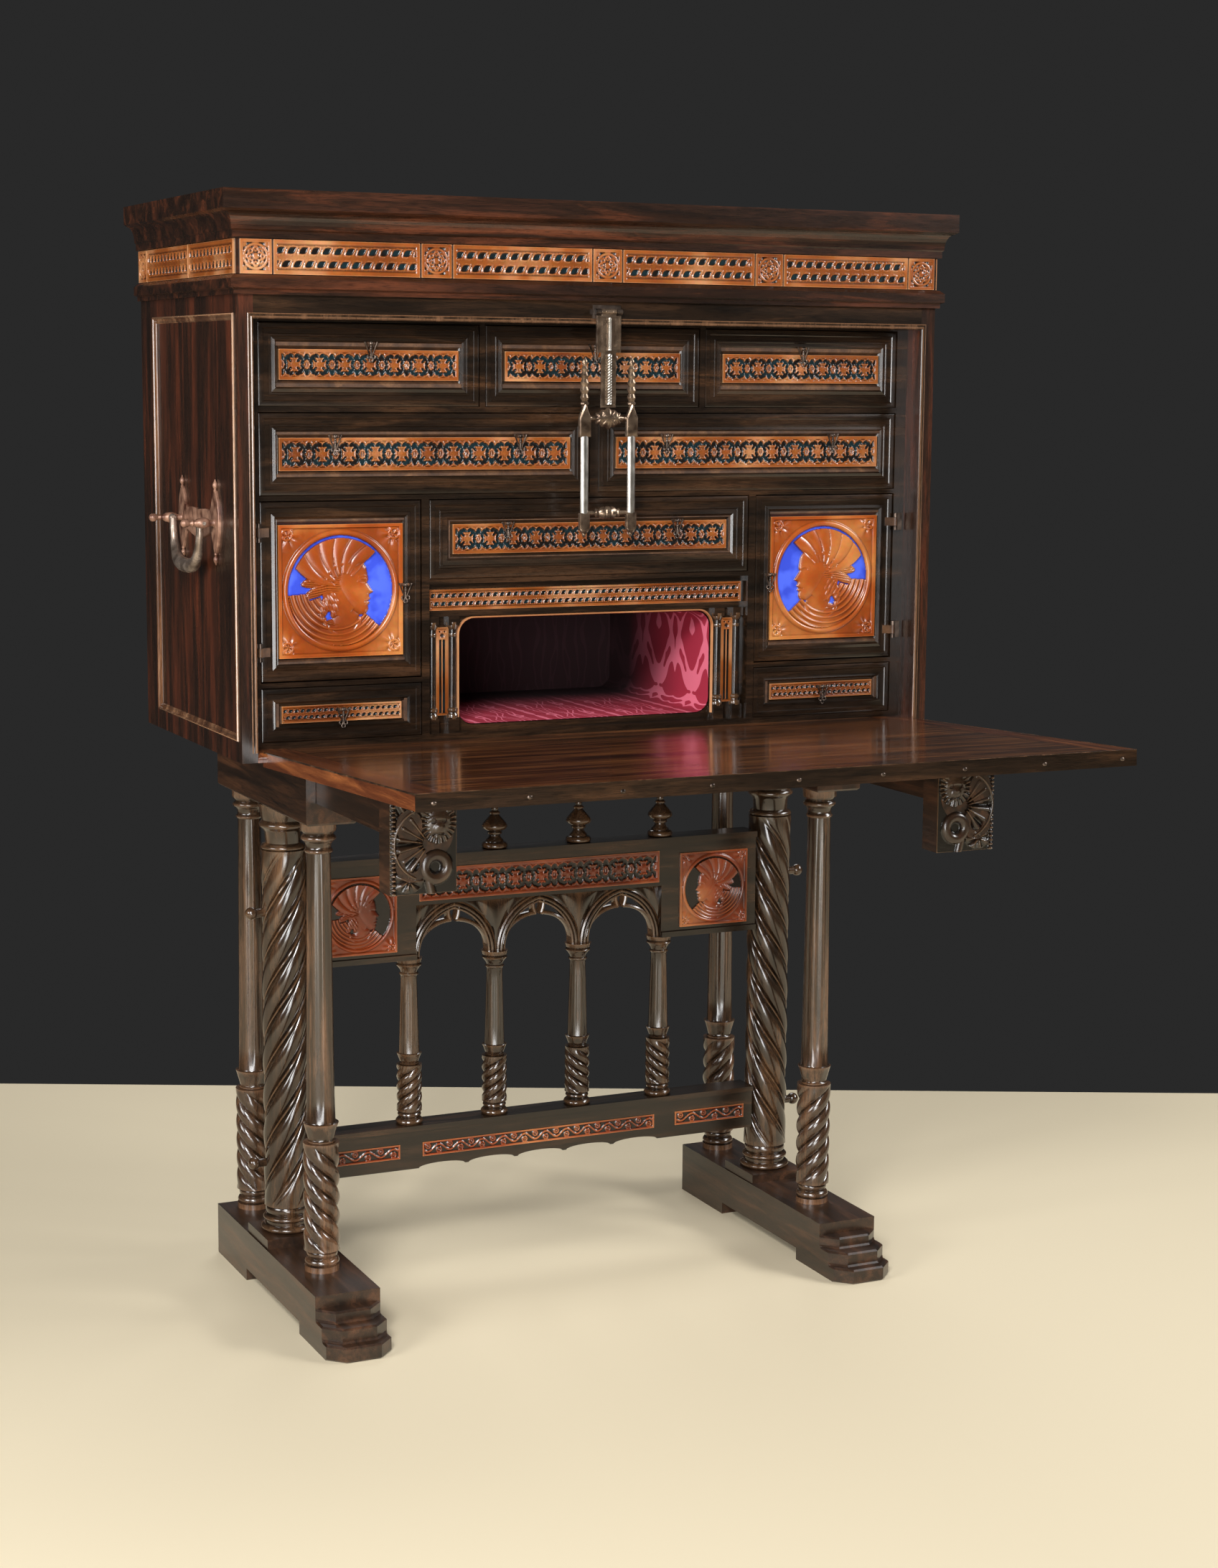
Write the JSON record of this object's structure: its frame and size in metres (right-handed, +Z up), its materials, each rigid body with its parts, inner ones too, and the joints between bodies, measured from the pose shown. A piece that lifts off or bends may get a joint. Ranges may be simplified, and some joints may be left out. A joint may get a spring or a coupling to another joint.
{
  "type": "vargueno cabinet on stand",
  "caption": "Fall-front writing chest on a trestle stand: twisted columns, arcaded bridge, carved drawers, doors with medallions, lined niche, hasp, lopers and side bails.",
  "frame": {"origin": "on the floor, under the middle of the whole piece with the fall open", "axes": "+X to the right seen from the front, +Y from the front to the back, +Z up"},
  "size_m": [1.145, 1.0228, 1.553],
  "materials": {
    "dark_wood": "satin",
    "carved_boxwood": "satin",
    "wrought_iron": "satin",
    "bright_steel": "brushed",
    "damask": "matte"
  },
  "bodies": {
    "chest_and_stand": {"left_foot": "dark_wood", "right_foot": "dark_wood", "left_twisted_column": "dark_wood", "right_twisted_column": "dark_wood", "left_slim_columns": "dark_wood", "right_slim_columns": "dark_wood", "left_trestle_rail": "dark_wood", "right_trestle_rail": "dark_wood", "bridge_rail": "dark_wood", "bridge_arcade": "dark_wood", "bridge_balusters": "dark_wood", "bridge_finials": "dark_wood", "bridge_stretcher": "dark_wood", "bridge_carvings": "carved_boxwood", "bridge_pegs": "dark_wood", "left_side": "dark_wood", "right_side": "dark_wood", "carcass_floor": "dark_wood", "carcass_top": "dark_wood", "carcass_back": "dark_wood", "waist_moulding": "dark_wood", "frieze": "dark_wood", "frieze_carvings": "carved_boxwood", "cornice": "dark_wood", "face_frame": "dark_wood", "partitions": "dark_wood", "niche_surround": "dark_wood", "niche_lining": "damask", "front_ironwork": "wrought_iron", "handle_plates": "wrought_iron"},
    "fall": {"fall_front": "dark_wood", "fall_ironwork": "wrought_iron"},
    "hasp": {"hasp": "bright_steel"},
    "left_loper": {"left_loper": "dark_wood"},
    "left_bail": {"left_bail": "wrought_iron"},
    "left_door": {"left_door": "dark_wood"},
    "left_door_pull": {"left_door_pull": "wrought_iron"},
    "right_loper": {"right_loper": "dark_wood"},
    "right_bail": {"right_bail": "wrought_iron"},
    "right_door": {"right_door": "dark_wood"},
    "right_door_pull": {"right_door_pull": "wrought_iron"},
    "left_top_drawer": {"left_top_drawer": "dark_wood"},
    "left_top_pull": {"left_top_pull": "wrought_iron"},
    "middle_top_drawer": {"middle_top_drawer": "dark_wood"},
    "middle_top_pull": {"middle_top_pull": "wrought_iron"},
    "right_top_drawer": {"right_top_drawer": "dark_wood"},
    "right_top_pull": {"right_top_pull": "wrought_iron"},
    "left_wide_drawer": {"left_wide_drawer": "dark_wood"},
    "left_wide_outer_pull": {"left_wide_outer_pull": "wrought_iron"},
    "left_wide_inner_pull": {"left_wide_inner_pull": "wrought_iron"},
    "right_wide_drawer": {"right_wide_drawer": "dark_wood"},
    "right_wide_outer_pull": {"right_wide_outer_pull": "wrought_iron"},
    "right_wide_inner_pull": {"right_wide_inner_pull": "wrought_iron"},
    "centre_drawer": {"centre_drawer": "dark_wood"},
    "left_centre_pull": {"left_centre_pull": "wrought_iron"},
    "right_centre_pull": {"right_centre_pull": "wrought_iron"},
    "left_low_drawer": {"left_low_drawer": "dark_wood"},
    "left_low_pull": {"left_low_pull": "wrought_iron"},
    "right_low_drawer": {"right_low_drawer": "dark_wood"},
    "right_low_pull": {"right_low_pull": "wrought_iron"}
  },
  "joints": [
    {"name": "fall_hinge", "type": "hinge", "parent": "chest_and_stand", "child": "fall", "pos_m": [0, 0.06041, 0.814], "axis": [1, 0, 0], "range_deg": [-87.4, 0]},
    {"name": "hasp_hinge", "type": "hinge", "parent": "chest_and_stand", "child": "hasp", "pos_m": [0, 0.04441, 1.407], "axis": [-1, 0, 0], "range_deg": [0, 140]},
    {"name": "left_loper_slide", "type": "slide", "parent": "chest_and_stand", "child": "left_loper", "axis": [0, -1, 0], "range_m": [-0.302, 0]},
    {"name": "left_bail_hinge", "type": "hinge", "parent": "chest_and_stand", "child": "left_bail", "pos_m": [-0.542, 0.23841, 1.122], "axis": [0, 1, 0], "range_deg": [0, 85]},
    {"name": "left_door_hinge", "type": "hinge", "parent": "chest_and_stand", "child": "left_door", "pos_m": [-0.4875, 0.08591, 1.0325], "axis": [0, 0, -1], "range_deg": [0, 100]},
    {"name": "left_door_pull_hinge", "type": "hinge", "parent": "left_door", "child": "left_door_pull", "pos_m": [-0.281, 0.08741, 1.0385], "axis": [-1, 0, 0], "range_deg": [0, 75]},
    {"name": "right_loper_slide", "type": "slide", "parent": "chest_and_stand", "child": "right_loper", "axis": [0, -1, 0], "range_m": [-0.302, 0]},
    {"name": "right_bail_hinge", "type": "hinge", "parent": "chest_and_stand", "child": "right_bail", "pos_m": [0.542, 0.23841, 1.122], "axis": [0, -1, 0], "range_deg": [0, 85]},
    {"name": "right_door_hinge", "type": "hinge", "parent": "chest_and_stand", "child": "right_door", "pos_m": [0.4875, 0.08591, 1.0325], "axis": [0, 0, 1], "range_deg": [0, 100]},
    {"name": "right_door_pull_hinge", "type": "hinge", "parent": "right_door", "child": "right_door_pull", "pos_m": [0.281, 0.08741, 1.0385], "axis": [-1, 0, 0], "range_deg": [0, 75]},
    {"name": "left_top_slide", "type": "slide", "parent": "chest_and_stand", "child": "left_top_drawer", "axis": [0, -1, 0], "range_m": [0, 0.28]},
    {"name": "left_top_pull_hinge", "type": "hinge", "parent": "left_top_drawer", "child": "left_top_pull", "pos_m": [-0.32875, 0.08741, 1.36075], "axis": [-1, 0, 0], "range_deg": [0, 75]},
    {"name": "middle_top_slide", "type": "slide", "parent": "chest_and_stand", "child": "middle_top_drawer", "axis": [0, -1, 0], "range_m": [0, 0.154]},
    {"name": "middle_top_pull_hinge", "type": "hinge", "parent": "middle_top_drawer", "child": "middle_top_pull", "pos_m": [0, 0.08741, 1.36075], "axis": [-1, 0, 0], "range_deg": [0, 75]},
    {"name": "right_top_slide", "type": "slide", "parent": "chest_and_stand", "child": "right_top_drawer", "axis": [0, -1, 0], "range_m": [0, 0.28]},
    {"name": "right_top_pull_hinge", "type": "hinge", "parent": "right_top_drawer", "child": "right_top_pull", "pos_m": [0.32875, 0.08741, 1.36075], "axis": [-1, 0, 0], "range_deg": [0, 75]},
    {"name": "left_wide_slide", "type": "slide", "parent": "chest_and_stand", "child": "left_wide_drawer", "axis": [0, -1, 0], "range_m": [0, 0.28]},
    {"name": "left_wide_outer_pull_hinge", "type": "hinge", "parent": "left_wide_drawer", "child": "left_wide_outer_pull", "pos_m": [-0.38, 0.08741, 1.238], "axis": [-1, 0, 0], "range_deg": [0, 75]},
    {"name": "left_wide_inner_pull_hinge", "type": "hinge", "parent": "left_wide_drawer", "child": "left_wide_inner_pull", "pos_m": [-0.112, 0.08741, 1.238], "axis": [-1, 0, 0], "range_deg": [0, 75]},
    {"name": "right_wide_slide", "type": "slide", "parent": "chest_and_stand", "child": "right_wide_drawer", "axis": [0, -1, 0], "range_m": [0, 0.28]},
    {"name": "right_wide_outer_pull_hinge", "type": "hinge", "parent": "right_wide_drawer", "child": "right_wide_outer_pull", "pos_m": [0.38, 0.08741, 1.238], "axis": [-1, 0, 0], "range_deg": [0, 75]},
    {"name": "right_wide_inner_pull_hinge", "type": "hinge", "parent": "right_wide_drawer", "child": "right_wide_inner_pull", "pos_m": [0.112, 0.08741, 1.238], "axis": [-1, 0, 0], "range_deg": [0, 75]},
    {"name": "centre_slide", "type": "slide", "parent": "chest_and_stand", "child": "centre_drawer", "axis": [0, -1, 0], "range_m": [0, 0.28]},
    {"name": "left_centre_pull_hinge", "type": "hinge", "parent": "centre_drawer", "child": "left_centre_pull", "pos_m": [-0.13, 0.08741, 1.119], "axis": [-1, 0, 0], "range_deg": [0, 75]},
    {"name": "right_centre_pull_hinge", "type": "hinge", "parent": "centre_drawer", "child": "right_centre_pull", "pos_m": [0.13, 0.08741, 1.119], "axis": [-1, 0, 0], "range_deg": [0, 75]},
    {"name": "left_low_slide", "type": "slide", "parent": "chest_and_stand", "child": "left_low_drawer", "axis": [0, -1, 0], "range_m": [0, 0.175]},
    {"name": "left_low_pull_hinge", "type": "hinge", "parent": "left_low_drawer", "child": "left_low_pull", "pos_m": [-0.37125, 0.08741, 0.87225], "axis": [-1, 0, 0], "range_deg": [0, 75]},
    {"name": "right_low_slide", "type": "slide", "parent": "chest_and_stand", "child": "right_low_drawer", "axis": [0, -1, 0], "range_m": [0, 0.175]},
    {"name": "right_low_pull_hinge", "type": "hinge", "parent": "right_low_drawer", "child": "right_low_pull", "pos_m": [0.37125, 0.08741, 0.87225], "axis": [-1, 0, 0], "range_deg": [0, 75]}
  ],
  "couplings": [
    {"joint": "middle_top_slide", "follows": "hasp_hinge", "m_per_rad": 0.06302},
    {"joint": "left_wide_slide", "follows": "hasp_hinge", "m_per_rad": 0.11459},
    {"joint": "right_wide_slide", "follows": "hasp_hinge", "m_per_rad": 0.11459},
    {"joint": "centre_slide", "follows": "hasp_hinge", "m_per_rad": 0.11459}
  ]
}
